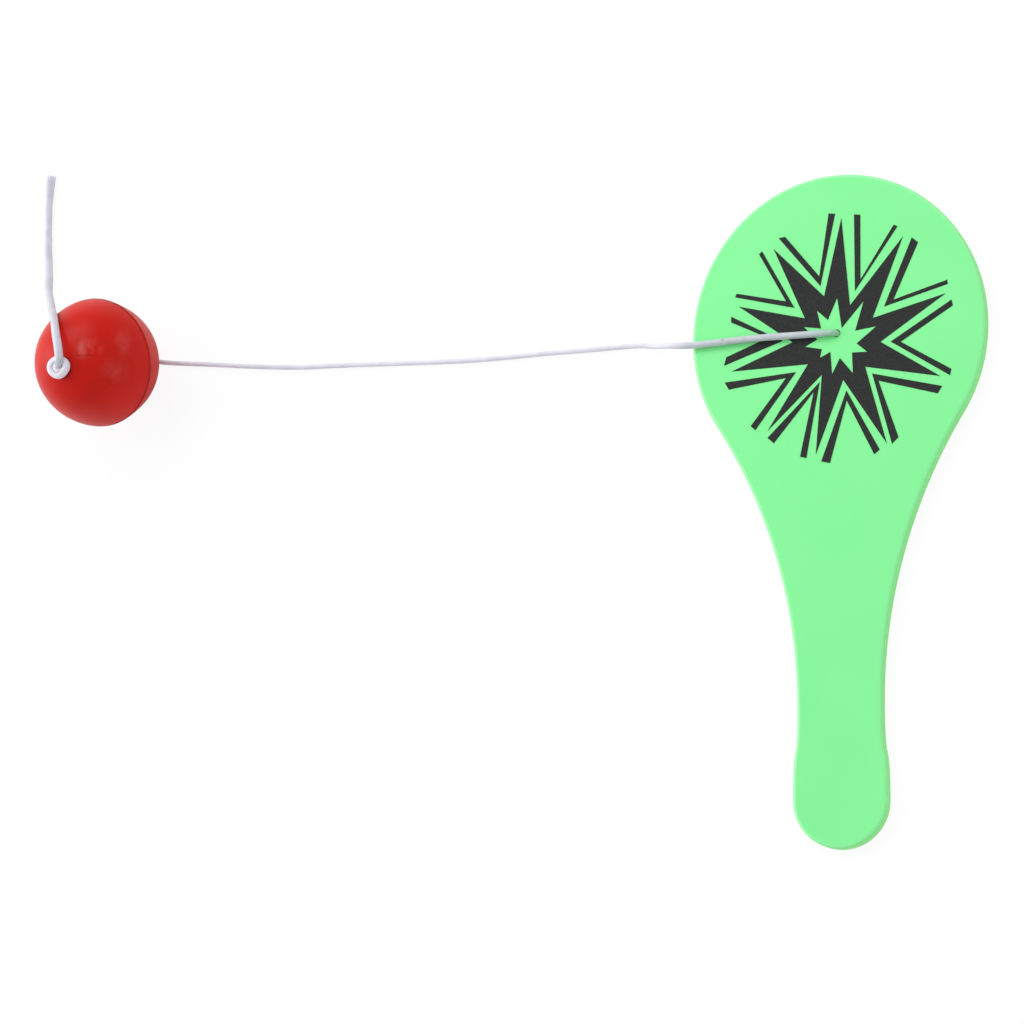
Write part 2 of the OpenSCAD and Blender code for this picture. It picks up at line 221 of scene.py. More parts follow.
def tube(name, line, radius, material, sides=20):
    """A tube along the line; radius is a number or a function of the share of the way along."""
    verts, faces = [], []
    total = length_of(line)
    s = 0.0
    for i, (point, (_, a, b)) in enumerate(zip(line, frames_of(line))):
        if i:
            s += (point - line[i - 1]).length
            faces += band((i - 1) * sides, i * sides, sides)
        r = radius(s / total) if callable(radius) else radius
        verts += ring_of(point, (a, b), r, sides)
    faces.append(tuple(range(sides)))
    faces.append(tuple(range((len(line) - 1) * sides, len(line) * sides)))
    obj = mesh_object(name, verts, faces, material)
    for polygon in obj.data.polygons:
        polygon.use_smooth = len(polygon.vertices) == 4
    return obj


def closed_tube(name, line, r, material, sides=20):
    """A tube of one thickness along a line that ends where it starts."""
    verts, faces = [], []
    n = len(line)
    for i, point in enumerate(line):
        way = (line[(i + 1) % n] - line[i - 1]).normalized()
        a = way.cross(Vector((0, 0, 1))).normalized()
        verts += ring_of(point, (a, way.cross(a)), r, sides)
        faces += band(i * sides, (i + 1) % n * sides, sides)
    return mesh_object(name, verts, faces, material)


def turned(name, section, material, steps=160):
    """A solid turned about Z from a closed section of (radius, height)."""
    verts, faces = [], []
    n = len(section)
    for k in range(steps):
        t = 2 * pi * k / steps
        verts += [(r * cos(t), r * sin(t), z) for r, z in section]
        faces += band(k * n, (k + 1) % steps * n, n)
    return mesh_object(name, verts, faces, material)


def prism(name, loops, material=None):
    """A closed solid through loops of points that share a count: each is (points, height)."""
    verts, faces = [], []
    n = len(loops[0][0])
    for j, (points, z) in enumerate(loops):
        verts += [(p[0], p[1], z) for p in points]
        if j:
            faces += band((j - 1) * n, j * n, n)
    faces.append(tuple(range(n)))
    faces.append(tuple(range((len(loops) - 1) * n, len(loops) * n)))
    return mesh_object(name, verts, faces, material)


def combine(obj, other, operation):
    """Cuts another closed solid out of an object, or joins it on, and deletes the other."""
    mod = obj.modifiers.new("combine", "BOOLEAN")
    mod.operation = operation
    mod.solver = "EXACT"
    mod.object = other
    bpy.context.view_layer.objects.active = obj
    bpy.ops.object.modifier_apply(modifier=mod.name)
    bpy.data.objects.remove(other)


def joined(obj, other):
    """One object from two that only touch or overlap."""
    bm = bmesh.new()
    bm.from_mesh(obj.data)
    bm.from_mesh(other.data)
    bpy.data.objects.remove(other)
    bm.to_mesh(obj.data)
    bm.free()
    for polygon in obj.data.polygons:
        polygon.use_smooth = True
    return obj


def moved_by(obj, v):
    obj.data.transform(Matrix.Translation(Vector(v) * MM))
    return obj


# Nodes of materials
def connect(tree, node, inputs):
    """Gives each input of a node, by name or number, a plain value or a socket to follow."""
    for key, value in inputs.items():
        if isinstance(value, bpy.types.NodeSocket):
            tree.links.new(value, node.inputs[key])
        else:
            node.inputs[key].default_value = value
    return node


def add_node(tree, kind, inputs, operation=None):
    node = tree.nodes.new(kind)
    if operation:
        node.operation = operation
    return connect(tree, node, inputs)


def new_material(name):
    mat = bpy.data.materials.new(name)
    mat.use_nodes = True
    return mat, mat.node_tree, mat.node_tree.nodes["Principled BSDF"]


def place_in(tree, output="Object"):
    return tree.nodes.new("ShaderNodeTexCoord").outputs[output]


def axis_of(tree, vector, axis):
    return add_node(tree, "ShaderNodeSeparateXYZ", {0: vector}).outputs[axis]


def absolute(tree, value):
    return add_node(tree, "ShaderNodeMath", {0: value}, "ABSOLUTE").outputs[0]


def product(tree, a, b):
    return add_node(tree, "ShaderNodeMath", {0: a, 1: b}, "MULTIPLY").outputs[0]


def way_from(tree, point):
    """How far each place is from a point, in metres."""
    return add_node(tree, "ShaderNodeVectorMath", {0: place_in(tree), 1: point * MM},
                    "DISTANCE").outputs["Value"]


def map_range(tree, value, start, end, low=0, high=1, smooth=False):
    node = add_node(tree, "ShaderNodeMapRange",
                    {"Value": value, "From Min": start, "From Max": end,
                     "To Min": low, "To Max": high})
    if smooth:
        node.interpolation_type = "SMOOTHERSTEP"
    return node.outputs["Result"]


def add_noise(tree, scale, detail, rough=0.5, place=None):
    return add_node(tree, "ShaderNodeTexNoise",
                    {"Scale": scale, "Detail": detail, "Roughness": rough,
                     "Vector": place or place_in(tree)}).outputs["Fac"]


def ramp(tree, source, stops):
    """A colour that follows the source through the stops of (place, colour)."""
    node = add_node(tree, "ShaderNodeValToRGB", {"Fac": source})
    elements = node.color_ramp.elements
    for element, (place, colour) in zip((elements[0], elements[1]), (stops[0], stops[-1])):
        element.position = place
        element.color = (*colour, 1)
    for place, colour in stops[1:-1]:
        elements.new(place).color = (*colour, 1)
    return node.outputs["Color"]


def grey(stops):
    return [(place, (level, level, level)) for place, level in stops]


def mixed(tree, factor, colour, other):
    """A colour that goes from one colour to another with the factor."""
    node = tree.nodes.new("ShaderNodeMix")
    node.data_type = "RGBA"
    connect(tree, node, {"Factor": factor, "A": colour, "B": (*other, 1)})
    return node.outputs["Result"]


def bump(tree, height, strength, deep):
    return add_node(tree, "ShaderNodeBump",
                    {"Strength": strength, "Distance": deep, "Height": height}).outputs["Normal"]


# Two tones that soft clouds mix in each material
GREEN_TONES = [(0.3, (0.232, 0.930, 0.321)), (0.7, (0.248, 0.955, 0.340))]
INK_TONES = [(0.3, (0.026, 0.028, 0.028)), (0.7, (0.037, 0.039, 0.039))]
RED_TONES = [(0.3, (0.54, 0.0065, 0.0018)), (0.7, (0.60, 0.0095, 0.0035))]
PALE_TONES = [(0.3, (0.67, 0.665, 0.745)), (0.7, (0.745, 0.74, 0.825))]
# The knot's tones are lighter than the other elastic: painted light against the shade between
# its turns
KNOT_LIT_TONES = [(0.3, (0.75, 0.725, 0.84)), (0.7, (0.83, 0.80, 0.92))]
# Painted highlight on the paddle's rounded edge and painted light on its walls, each with where
# it shows, by how level the face lies
EDGE_HIGHLIGHT_TONE, WALL_LIGHT_TONE = (0.33, 1.0, 0.41), (0.31, 1.0, 0.30)
EDGE_HIGHLIGHT_SHOWS = grey([(0.5, 0), (0.75, 1), (0.96, 1), (0.999, 0)])
WALL_LIGHT_SHOWS = grey([(0.3, 1), (0.6, 0)])
# Pale patches on the ball: way from its middle, how far each reaches, and how pale it gets
PALE_PATCHES = [((0.28, -0.03, 0.953), 4.8, 0.55), ((0.45, 0, 0.907), 4.4, 0.35),
        ((0.78, 0.14, 0.61), 7.5, 0.2), ((0.66, -0.4, 0.63), 7.5, 0.2),
        ((-0.4, 0.5, 0.77), 8, 0.16)]
PATCH_TONE = (0.72, 0.20, 0.17)
# The streaks that break up the pale patches: how they stretch and turn, and where they show
STREAK_STRETCH, STREAK_TURN, STREAK_SHOWS = (1, 0.35, 0.8), radians(-35), (0.38, 0.68)
# Painted shade along the seam's groove: how far it reaches each side, its tone, and where it
# shows
SEAM_SHADE_REACH, SEAM_SHADE_TONE = 6.0, (0.20, 0.006, 0.004)
SEAM_SHADE_SHOWS = grey([(0, 0.1), (0.45, 0.14), (0.48, 0.8), (0.52, 0.8), (0.55, 0.1), (0.8, 0)])
# The painted shade is fainter near the ball's middle along Y: between which two ways from the
# ball's middle along Y, as shares of its radius, and how much of the shade stays at each
SEAM_SHADE_FADE, SEAM_SHADE_FADE_LEVELS = (0.2, 0.85), (0.25, 1)
# On the blade the pale elastic is painted with the green light that the paddle throws on it, and
# with painted shade, most of all at the hole: shades by how far they are, in millimetres, from
# the top of the cord over the hole
BLADE_PAINTED_GREEN = [(0, (0.44, 0.85, 0.51)), (2, (0.57, 0.87, 0.64)), (5, (0.65, 0.85, 0.73)),
                (10, (0.76, 0.85, 0.8)), (46, (0.8, 0.86, 0.83)), (51, (1, 1, 1))]
CORD_TOP = 5
# Painted shade makes the slack tail deeper in colour, and most of all off the table: shades by
# height
TAIL_PAINTED_SHADE = grey([(2, 0.9), (5, 0.76), (12, 0.67), (40, 0.67), (44.5, 0.84)])


def plastic():
    """Neon plastic, a little paler on its rounded edge from a painted highlight, and deeper in
    colour on its walls from painted light.
    """
    mat, tree, shader = new_material("neon_plastic")
    tint = ramp(tree, add_noise(tree, 45, 3), GREEN_TONES)
    level = absolute(tree, axis_of(tree, place_in(tree, "Normal"), "Z"))
    # The paler rounded edge is a painted highlight, and the deeper walls are painted light
    tint = mixed(tree, ramp(tree, level, EDGE_HIGHLIGHT_SHOWS), tint, EDGE_HIGHLIGHT_TONE)
    tint = mixed(tree, ramp(tree, level, WALL_LIGHT_SHOWS), tint, WALL_LIGHT_TONE)
    connect(tree, shader, {"Base Color": tint, "Roughness": 0.36, "Specular IOR Level": 0.32,
                           "Normal": bump(tree, add_noise(tree, 900, 2), 0.05, 0.0002)})
    return mat


def ink():
    mat, tree, shader = new_material("print_ink")
    grain = add_noise(tree, 1400, 3)
    connect(tree, shader, {"Base Color": ramp(tree, grain, INK_TONES), "Roughness": 0.7,
                           "Specular IOR Level": 0.1,
                           "Normal": bump(tree, grain, 0.05, 0.0001)})
    return mat


def red_rubber():
    """Red rubber with a few pale patches, and with painted shade along the ball's seam."""
    mat, tree, shader = new_material("red_rubber")
    tint = ramp(tree, add_noise(tree, 60, 3), RED_TONES)
    # Pale patches, each fading out from a place on the ball and broken up by streaks
    patches = 0.0
    for spot, reach, level in PALE_PATCHES:
        fade = map_range(tree, way_from(tree, BALL + Vector(spot) * BALL_R), reach * MM, 0,
                         0, level, smooth=True)
        patches = add_node(tree, "ShaderNodeMath", {0: patches, 1: fade}, "ADD").outputs[0]
    place = place_in(tree)
    stretch = add_node(tree, "ShaderNodeMapping",
                       {"Vector": place, "Scale": STREAK_STRETCH,
                        "Rotation": (0, 0, STREAK_TURN)}).outputs["Vector"]
    streaks = map_range(tree, add_noise(tree, 260, 5, 0.65, stretch), *STREAK_SHOWS)
    tint = mixed(tree, product(tree, patches, streaks), tint, PATCH_TONE)

    # Painted shade darkens the ball along its seam, with less of it near the middle along Y
    from_middle = add_node(tree, "ShaderNodeVectorMath", {0: place, 1: BALL * MM},
                           "SUBTRACT").outputs["Vector"]
    along = add_node(tree, "ShaderNodeVectorMath", {0: from_middle, 1: AXIS},
                     "DOT_PRODUCT").outputs["Value"]
    seam = ramp(tree, map_range(tree, along, -SEAM_SHADE_REACH * MM, SEAM_SHADE_REACH * MM), SEAM_SHADE_SHOWS)
    shade_kept = map_range(tree, absolute(tree, axis_of(tree, from_middle, "Y")),
                     *(share * BALL_R * MM for share in SEAM_SHADE_FADE), *SEAM_SHADE_FADE_LEVELS)
    tint = mixed(tree, product(tree, seam, shade_kept), tint, SEAM_SHADE_TONE)
    connect(tree, shader, {"Base Color": tint, "Roughness": 0.4, "Specular IOR Level": 0.15,
                           "Normal": bump(tree, add_noise(tree, 500, 3), 0.06, 0.0003)})
    return mat


def elastic(name, tones, shades=None, near=None, soft=0.6, soft_deep=0.0012):
    """Pale elastic. Painted light and shade are given as (mm, colour) by height, or by the way
    from a point near it.
    """
    mat, tree, shader = new_material(name)
    clouds = add_noise(tree, 260, 2)
    tint = ramp(tree, clouds, tones)
    if shades:
        reach = shades[-1][0]
        far = way_from(tree, near) if near else axis_of(tree, place_in(tree), "Z")
        shade = ramp(tree, map_range(tree, far, 0, reach * MM),
                     [(mm / reach, colour) for mm, colour in shades])
        tint = add_node(tree, "ShaderNodeVectorMath", {0: tint, 1: shade},
                        "MULTIPLY").outputs["Vector"]
    connect(tree, shader, {"Base Color": tint, "Roughness": 0.5, "Subsurface Weight": soft,
                           "Subsurface Radius": (1.0, 0.9, 1.0),
                           "Subsurface Scale": soft_deep,
                           "Normal": bump(tree, clouds, 0.1, 0.0003)})
    return mat


GREEN, INK, RED = plastic(), ink(), red_rubber()
# The cord over the blade gets painted green light and painted shade, deepest at the hole
WHITE = elastic("elastic_cord", PALE_TONES, BLADE_PAINTED_GREEN, HOLE + Vector((0, 0, CORD_TOP)))
KNOTTED_LIT = elastic("elastic_cord_knotted", KNOT_LIT_TONES)
# The slack tail's deeper colour is painted shade, by height
SHADED_SLACK = elastic("elastic_cord_slack", PALE_TONES, TAIL_PAINTED_SHADE, soft=1, soft_deep=0.003)


# Cords, with routes close to those of the solids. The neck, the root and the span are
# measured from the foot of the hole in the blade, the tail from the table under the ball
neck_route = [(0.12, 0, 1.4), (0.14, 0, 2.1), (0.13, 0, 2.9), (-0.02, 0, 3.78), (-0.37, 0, 4.51),
              (-1.1, 0, 5), (-2, 0, 5.18), (-3, 0, 5.2), (-4, 0, 5.2), (-5, 0, 5.2)]
root_route = [(-5, 0, 5.2), (-11, 0, 5.2), (-17, 0.1, 5.2), (-23, 0.1, 5.2), (-29, 0, 5.2),
              (-35, -0.2, 5.2)]
span_route = [(-35, -0.2, 5.2), (-40, -0.4, 5.2), (-44, -0.5, 5.2), (-47.5, -0.4, 5.1),
              (-51, 0, 4.6), (-55, 0.5, 3.3), (-59, 1.1, 1.8), (-62.5, 1.8, 0.95),
              (-66, 1.9, 0.8), (-71, 1.9, 0.8), (-78, 1.8, 0.8), (-86, 1.8, 0.8),
              (-94, 1.8, 0.8), (-102, 1.6, 0.8), (-110, 1.5, 0.8), (-118, 1.5, 0.8),
              (-126, 1.7, 0.8), (-134, 2, 0.8), (-142, 2.4, 0.8), (-150, 2.7, 0.8),
              (-158, 3.1, 0.8), (-167, 3.4, 0.8), (-176, 3.7, 0.8), (-184, 4.3, 0.8),
              (-192, 5.1, 0.8), (-200, 6, 0.8), (-209, 7.1, 0.8), (-218, 8.1, 0.8),
              (-226, 9.1, 0.8), (-231, 10.1, 0.8), (-234.9, 10.8, 0.8), (-236, 11, 1),
              (-237, 11, 1.55), (-237.8, 10.9, 2.4), (-238.1, 10.6, 3.5), (-238.3, 10.2, 4.9)]
tail_route = [(-2.7, -6.1, 39.4), (-1.5, -4.6, 41.4), (-1.1, -2.4, 42.8), (-1.5, 0.8, 43.2),
              (-2.2, 3, 42.9), (-3.1, 5.2, 42), (-4.3, 7.6, 40.5), (-5.8, 10, 38.4),
              (-7.8, 12.5, 35.6), (-10.2, 14.9, 32.3), (-13.4, 17.8, 27.4), (-17, 21.2, 21.8),
              (-22, 26.4, 14.4), (-25.3, 30.7, 9.2), (-27.9, 34.9, 4.8), (-29.5, 38.2, 2.4),
              (-30.3, 41.5, 1.5), (-30.7, 45, 1.46), (-31, 50, 1.44), (-31.2, 55.5, 1.38),
              (-31.3, 61, 1.4), (-31.12, 66, 1.55), (-30.85, 69.5, 1.68), (-30.6, 71.3, 1.75)]
# Points along a smooth line, and along the cord that is drawn on it
FINE_STEP, CORD_STEP = 0.3, 0.8
# The span runs this far into the root
OVERLAP = 0.5
# Changes of thickness along each stretch: where they start, over what length, and by how much.
# The tail leaves the knot a little thicker than it is further on
ROOT_CHANGES = [(4, 3, CORD_BLADE_D - NECK_D)]
SPAN_CHANGES = [(8, 22, CORD_D - CORD_BLADE_D)]
TAIL_FIRST_D = TAIL_D + 0.2
TAIL_CHANGES = [(0, 25, -0.2), (52, 12, 0.35), (82, 8, -0.2)]
# The tail spreads towards its cut end: over this length, by this much, and how late
TAIL_FLARE_L, TAIL_FLARE, TAIL_FLARE_BEND = 11.5, 0.8, 1.2


def from_hole(route):
    return [HOLE + Vector(p) for p in route]


def changed(thick, s, changes):
    """Thickness of a cord at a length along it."""
    return thick + sum(by * eased((s - start) / over) for start, over, by in changes)


root_line = evened(spline(from_hole(neck_route + root_route[1:]), FINE_STEP), CORD_STEP)
root_l = length_of(root_line)
cord_root = tube("elastic_root_cord", root_line,
                 lambda share: changed(NECK_D, share * root_l, ROOT_CHANGES) / 2, WHITE)
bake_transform(cord_root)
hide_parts("cord_neck", "elastic_root")

span_line = spline(from_hole(span_route), FINE_STEP)
span_line = evened([span_line[0] - (span_line[1] - span_line[0]).normalized() * OVERLAP]
                   + span_line, CORD_STEP)
span_l = length_of(span_line)
cord_span = tube("elastic_span_cord", span_line,
                 lambda share: changed(CORD_BLADE_D, share * span_l, SPAN_CHANGES) / 2, WHITE)
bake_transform(cord_span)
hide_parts("elastic_span")

tail_line = evened(spline([BALL_FOOT + Vector(p) for p in tail_route], FINE_STEP), CORD_STEP)
tail_l = length_of(tail_line)


def tail_radius(share):
    s = share * tail_l
    flare = max(0, (s - tail_l + TAIL_FLARE_L) / TAIL_FLARE_L)
    return (changed(TAIL_FIRST_D, s, TAIL_CHANGES) + TAIL_FLARE * flare ** TAIL_FLARE_BEND) / 2


cord_tail = tube("elastic_tail_cord", tail_line, tail_radius, SHADED_SLACK)
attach(cord_tail, "cord_end")
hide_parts("elastic_tail")

# Paddle. How far the curves of its outline pull, as shares of the stretch that they cross
SHOULDER_PULL, WAIST_PULL, BUTT_PULL = 0.21, 0.47, 0.75
# Steps round the blade, down the shoulder, along the flare and round the butt
BLADE_STEPS, SHOULDER_STEPS, FLARE_STEPS, BUTT_STEPS = 90, 42, 24, 30
# How much the hollow and the ribs widen on their way, and how far the cutting solids reach
HOLLOW_DRAFT, RIB_DRAFT = 0.12, 0.1
RIB_LOW, RIB_HIGH, BEYOND = -2, 3, 1
SPINE_REACH, CROSSBAR_REACH = 110, 60
HOLE_SIDES, MOUTH_STEPS, EDGE_STEPS = 96, 8, 10
# Where the middle of the rounded bevel at the back lies, as a share of the bevel
BEVEL_MIDDLE = 0.3
# Edges of the paddle and of the ball that turn by more than this stay sharp
PADDLE_SHARP, BALL_SHARP = radians(28), radians(40)


def paddle_outline():
    """Points round the paddle about its own middle, from the top of the blade clockwise."""
    end_a = radians(90 + SHOULDER_A)
    end = Vector((BLADE_W / 2 * sin(end_a), BLADE_H / 2 * (1 - cos(end_a))))
    way = Vector((BLADE_W * cos(end_a), BLADE_H * sin(end_a))).normalized()
    waist = Vector((WAIST_W / 2, WAIST_Y))
    butt = Vector((BUTT_W / 2, PADDLE_L - BUTT_W / 2))
    shoulder_l, flare_l = waist.y - end.y, butt.y - waist.y
    half = []
    for i in range(BLADE_STEPS + 1):
        a = end_a * i / BLADE_STEPS
        half.append(Vector((BLADE_W / 2 * sin(a), BLADE_H / 2 * (1 - cos(a)))))
    for i in range(1, SHOULDER_STEPS + 1):
        half.append(bezier(end, end + way * shoulder_l * SHOULDER_PULL,
                           waist - Vector((0, shoulder_l * WAIST_PULL)), waist,
                           i / SHOULDER_STEPS))
    for i in range(1, FLARE_STEPS + 1):
        half.append(bezier(waist, waist + Vector((0, flare_l * BUTT_PULL)),
                           butt - Vector((0, flare_l * BUTT_PULL)), butt, i / FLARE_STEPS))
    for i in range(1, BUTT_STEPS + 1):
        a = radians(90) * i / BUTT_STEPS
        half.append(Vector((BUTT_W / 2 * cos(a), butt.y + BUTT_W / 2 * sin(a))))
    right = [Vector((p.x, PADDLE_L / 2 - p.y)) for p in half]
    left = [Vector((-p.x, p.y)) for p in right[-2:0:-1]]
    return right + left


OUTLINE = paddle_outline()


def drawn_in(gap):
    """The paddle's outline, this far inside itself."""
    n = len(OUTLINE)
    out = []
    for i, p in enumerate(OUTLINE):
        way = (OUTLINE[(i + 1) % n] - OUTLINE[i - 1]).normalized()
        out.append(p + gap * Vector((way.y, -way.x)))
    return out


def rib(name, x, y, wider_x, wider_y):
    """A bar that reaches x and y each side of its middle, and is wider by some at its top."""
    top_x, top_y = x + wider_x, y + wider_y
    return prism(name, [(boxed(-x, -y, x, y), RIB_LOW),
                        (boxed(-top_x, -top_y, top_x, top_y), RIB_HIGH)])


hole_in_paddle = (0, PADDLE_L / 2 - HOLE_Y, 0)
pocket = prism("pocket", [(drawn_in(RIM_W), -BEYOND),
                          (drawn_in(RIM_W + HOLLOW_DRAFT), PADDLE_T - FACE_T)])
for shape in (
        rib("spine", RIB_W / 2, SPINE_REACH, RIB_DRAFT, 0),
        moved_by(rib("crossbar", CROSSBAR_REACH, RIB_W / 2, 0, RIB_DRAFT), hole_in_paddle),
        moved_by(prism("ring", [(circle(RING_D / 2), RIB_LOW),
                                (circle(RING_D / 2 + RIB_DRAFT), RIB_HIGH)]), hole_in_paddle)):
    combine(pocket, shape, "DIFFERENCE")
well = moved_by(prism("well", [(circle(RING_D / 2 - RING_WALL), -BEYOND),
                               (circle(RING_D / 2 - RING_WALL), PADDLE_T - FACE_T)]),
                hole_in_paddle)
combine(pocket, well, "UNION")

section = [(BACK_BEVEL, 0), (BACK_BEVEL * BEVEL_MIDDLE, BACK_BEVEL * BEVEL_MIDDLE),
           (0, BACK_BEVEL)]
for i in range(EDGE_STEPS + 1):
    a = radians(90) * i / EDGE_STEPS
    section.append((EDGE_R * (1 - cos(a)), PADDLE_T - EDGE_R * (1 - sin(a))))
plate = prism("paddle_body", [(drawn_in(inset), z) for inset, z in section], GREEN)
combine(plate, pocket, "DIFFERENCE")
mouth = []
flare = (MOUTH_D - HOLE_D) / 2
for i in range(MOUTH_STEPS + 1):
    a = radians(90) * i / MOUTH_STEPS
    mouth.append((circle(HOLE_D / 2 + flare * (1 - cos(a)), HOLE_SIDES),
                  PADDLE_T - MOUTH_T * (1 - sin(a))))
hole = moved_by(prism("hole", [(circle(HOLE_D / 2, HOLE_SIDES), -BEYOND)] + mouth
                      + [(circle(MOUTH_D / 2, HOLE_SIDES), PADDLE_T + BEYOND)]), hole_in_paddle)
combine(plate, hole, "DIFFERENCE")
moved_by(plate, (PADDLE_X, 0, 0))
plate.data.materials.clear()
plate.data.materials.append(GREEN)
plate.data.shade_smooth()
plate.data.set_sharp_from_angle(angle=PADDLE_SHARP)
weighted = plate.modifiers.new("weighted", "WEIGHTED_NORMAL")
weighted.keep_sharp = True
weighted.weight = 100
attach(plate, "paddle")
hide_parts("paddle")

print_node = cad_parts["starburst_print"]
print_node.data.materials.clear()
print_node.data.materials.append(INK)

# Ball, drawn about its own hole: sizes of the knot's seat, the bores and the thick rubber
seat_r, seat_h, seat_z = KNOT_D / 2 + SEAT_GAP, KNOT_H / 2 + SEAT_GAP, BALL_R + KNOT_RISE
bore_r, boss_r, inner_r = BORE_D / 2, BOSS_D / 2, BALL_R - BALL_WALL
boss_z = seat_z - seat_h - BOSS_T
# Turns left out on each side of the rim of the seat, in radians, for a soft lip
BALL_LIP_A, SEAT_LIP_A = 0.012, 0.06
# Steps over the skin, the seat and the inside, and tries that find the rim of the seat
SKIN_STEPS, SEAT_STEPS, INSIDE_STEPS, RIM_HALVINGS = 90, 14, 40, 30
# A short crease that the mould left in the rubber: ways from the middle of the ball, its radius,
# how deep it lies, and its share of the radius at the ends
CREASE = [(0.165, -0.132, 0.977), (0.24, -0.134, 0.962), (0.316, -0.134, 0.939),
          (0.39, -0.132, 0.911), (0.462, -0.13, 0.877)]
CREASE_R, CREASE_DEEP, CREASE_ENDS = 0.2, 0.03, 0.35
# Points along its smooth line, and along the groove that is cut on it
CREASE_FINE_STEP, CREASE_STEP = 0.2, 0.25


def seat_width(z):
    return seat_r * sqrt(max(0, 1 - ((z - seat_z) / seat_h) ** 2))


def seat_rim():
    """Height at which the seat breaks out of the ball, found by halving a span that holds it."""
    low, high = BALL_R - seat_h / 2, BALL_R
    for _ in range(RIM_HALVINGS):
        mid = (low + high) / 2
        if sqrt(max(0, BALL_R ** 2 - mid ** 2)) > seat_width(mid):
            low = mid
        else:
            high = mid
    return low


rim_z = seat_rim()
top_a = asin(rim_z / BALL_R)
low_a, high_a = acos(bore_r / seat_r), asin((rim_z - seat_z) / seat_h)


def half_section(swell):
    """Section of half the ball, from the seam over its skin and its seat to the inside."""
    start = asin(SEAM_GROOVE / BALL_R)
    pts = [(inner_r, 0), (BALL_R + swell[0] - SEAM_GROOVE, 0)]
    for i in range(SKIN_STEPS + 1):
        a = start + (top_a - start - BALL_LIP_A) * i / SKIN_STEPS
        r = swollen(degrees(a), swell)
        pts.append((r * cos(a), r * sin(a)))
    for i in range(SEAT_STEPS + 1):
        a = high_a - SEAT_LIP_A + (-low_a - high_a + SEAT_LIP_A) * i / SEAT_STEPS
        pts.append((seat_r * cos(a), seat_z + seat_h * sin(a)))
    pts += [(bore_r, boss_z), (boss_r, boss_z)]
    for i in range(INSIDE_STEPS):
        a = acos(boss_r / inner_r) * (1 - i / INSIDE_STEPS)
        pts.append((inner_r * cos(a), inner_r * sin(a)))
    return pts


def on_ball(obj, flip=False):
    """Leans a half of the ball and puts it in its place."""
    if flip:
        obj.data.transform(Matrix.Scale(-1, 4, (0, 0, 1)))
        obj.data.flip_normals()
    turn = Euler((0, -LEAN, TURN), "XYZ").to_matrix().to_4x4()
    obj.data.transform(Matrix.Translation(BALL * MM) @ turn)
    return obj


def crease_radius(share):
    return CREASE_R * (CREASE_ENDS + (1 - CREASE_ENDS) * sin(pi * share) ** 0.5)


ball_near = on_ball(turned("ball_near", half_section(NEAR_SWELL), RED))
crease_line = evened(spline([BALL + Vector(p).normalized() * (BALL_R - CREASE_DEEP)
                             for p in CREASE], CREASE_FINE_STEP), CREASE_STEP)
combine(ball_near, tube("crease", crease_line, crease_radius, None, sides=10), "DIFFERENCE")
ball_far = on_ball(turned("ball_far", half_section(FAR_SWELL), RED), flip=True)
for half, node in ((ball_near, "ball_half_near"), (ball_far, "ball_half_far")):
    half.data.set_sharp_from_angle(angle=BALL_SHARP)
    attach(half, "ball")
    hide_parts(node)

# Knot on the ball: an oval turn of cord round a rounded core.
# Half length and half width of the turn, and the radius of its cord
KNOT_LONG, KNOT_SHORT, KNOT_TUBE = 2.85, 2.4, 1.3
# Core: radius, half height, and how far up and down its section goes, in degrees and in steps
KNOT_CORE_R, KNOT_CORE_H, KNOT_CORE_TOP_A, KNOT_CORE_STEPS = 2.6, 1.25, 89, 20
# How much one corner is flattened and where, and how far the turn waves up and down
KNOT_FLAT, KNOT_FLAT_A, KNOT_WAVE = 0.2, radians(-42), 0.08
# How far the knot is tipped and moved to the paddle
KNOT_TIP, KNOT_SHIFT = radians(6), 0.25
TURN_STEPS = 96
# The cord in the ball: where it starts below the middle, and how far it stops under the knot
CORD_ENTRY, CORD_UNDER_KNOT = 15.85, 1
# Knot behind the blade: its reach, its rise, radius of its cord, and height of its middle
ANCHOR_ACROSS, ANCHOR_RISE, ANCHOR_TUBE, ANCHOR_Z = 1.9, 0.5, 0.75, 1.25


def knot_turn():
    """The one turn of the knot on the ball."""
    pts = []
    for i in range(TURN_STEPS):
        t = 2 * pi * i / TURN_STEPS
        flat = 1 - KNOT_FLAT * max(0, cos(t - KNOT_FLAT_A)) ** 4
        pts.append(Vector((KNOT_LONG * cos(t) * flat, KNOT_SHORT * sin(t) * flat,
                           KNOT_WAVE * sin(2 * t + 1))))
    return pts


def overhand(across, rise):
    """The closed line of an overhand knot."""
    pts = []
    for i in range(TURN_STEPS):
        t = 2 * pi * i / TURN_STEPS
        pts.append(Vector(((sin(t) + 2 * sin(2 * t)) / 3 * across,
                           (cos(t) - 2 * cos(2 * t)) / 3 * across, -sin(3 * t) * rise)))
    return pts


core_turns = [radians(KNOT_CORE_TOP_A * (2 * i / KNOT_CORE_STEPS - 1))
              for i in range(KNOT_CORE_STEPS + 1)]
knot = joined(closed_tube("ball_knot_turns", knot_turn(), KNOT_TUBE, KNOTTED_LIT, sides=28),
              turned("ball_knot_core", [(KNOT_CORE_R * cos(t), KNOT_CORE_H * sin(t))
                                        for t in core_turns], KNOTTED_LIT, steps=64))
tipped = Matrix.Rotation(KNOT_TIP, 3, Vector((0, 1, 0))) @ AXIS
long_way = (Vector((1, 0, 0)) - tipped * tipped.x).normalized()
short_way = tipped.cross(long_way)
knot.data.transform(Matrix.Translation((BALL + AXIS * (BALL_R + KNOT_RISE)
                                        + long_way * KNOT_SHIFT) * MM)
                    @ Matrix((long_way, short_way, tipped)).transposed().to_4x4())
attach(knot, "cord_end")
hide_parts("ball_knot")

